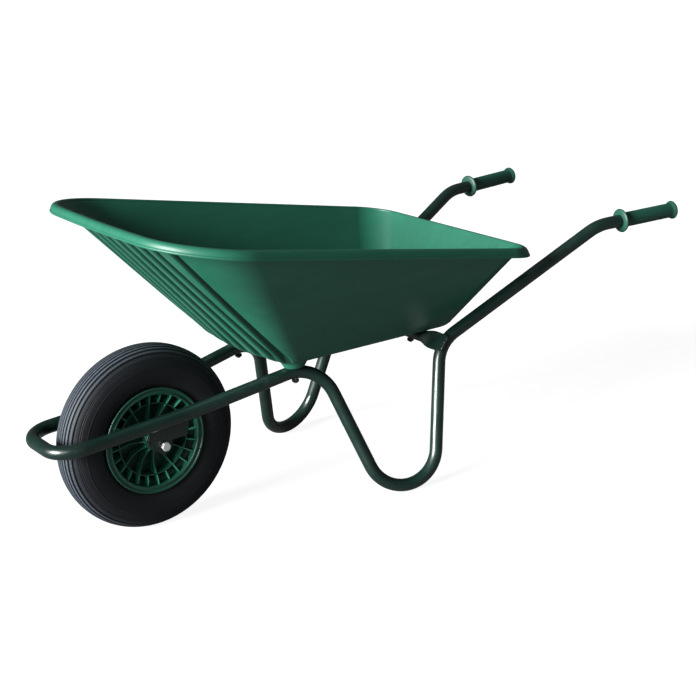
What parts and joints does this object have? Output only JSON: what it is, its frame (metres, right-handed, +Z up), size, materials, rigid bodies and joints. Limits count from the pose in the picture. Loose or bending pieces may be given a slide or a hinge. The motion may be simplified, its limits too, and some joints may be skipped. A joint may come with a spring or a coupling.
{
  "type": "wheelbarrow",
  "caption": "Garden wheelbarrow with a moulded plastic tray, a bent steel tube frame, a pneumatic front wheel and moulded hand grips.",
  "frame": {"origin": "on the ground, below the middle of the overall length and on the centre plane", "axes": "+X from the wheel to the grips, +Y to the user's right when standing between the handles and facing the wheel, +Z up"},
  "size_m": [1.4474, 0.6534, 0.6421],
  "materials": {
    "frame_paint": "gloss dark green stove enamel",
    "tray_plastic": "satin moulded mid green plastic",
    "wheel_plastic": "satin moulded green plastic",
    "grip_plastic": "soft green plastic with a fine ribbed texture",
    "bush_plastic": "dull black plastic",
    "tyre_rubber": "matt grey-black rubber, ribbed tread",
    "tube_rubber": "matt black rubber",
    "zinc_steel": "bright zinc plate"
  },
  "bodies": {
    "frame": {"frame_hoop": "frame_paint", "leg_left": "frame_paint", "leg_right": "frame_paint", "handle_left": "frame_paint", "handle_right": "frame_paint", "cross_tube": "frame_paint", "axle_bracket_left": "frame_paint", "axle_bracket_right": "frame_paint", "axle_bolt": "zinc_steel", "axle_nut": "zinc_steel", "axle_washer_left": "zinc_steel", "axle_washer_right": "zinc_steel", "spacer_left": "zinc_steel", "spacer_right": "zinc_steel", "tray": "tray_plastic", "front_bolt_left": "zinc_steel", "front_bolt_right": "zinc_steel", "rear_bolt_left": "zinc_steel", "rear_bolt_right": "zinc_steel", "front_washer_left": "zinc_steel", "front_washer_right": "zinc_steel", "rear_washer_left": "zinc_steel", "rear_washer_right": "zinc_steel", "front_nut_left": "zinc_steel", "front_nut_right": "zinc_steel", "rear_nut_left": "zinc_steel", "rear_nut_right": "zinc_steel", "grip_left": "grip_plastic", "grip_right": "grip_plastic"},
    "wheel": {"wheel_centre": "wheel_plastic", "hub_bush_left": "bush_plastic", "hub_bush_right": "bush_plastic", "tyre": "tyre_rubber", "inner_tube": "tube_rubber", "valve_stem": "zinc_steel", "valve_cap": "bush_plastic"}
  },
  "joints": [
    {"name": "wheel_spin", "type": "hinge", "parent": "frame", "child": "wheel", "pos_m": [-0.486, 0, 0.19], "axis": [0, 1, 0], "continuous": true}
  ]
}
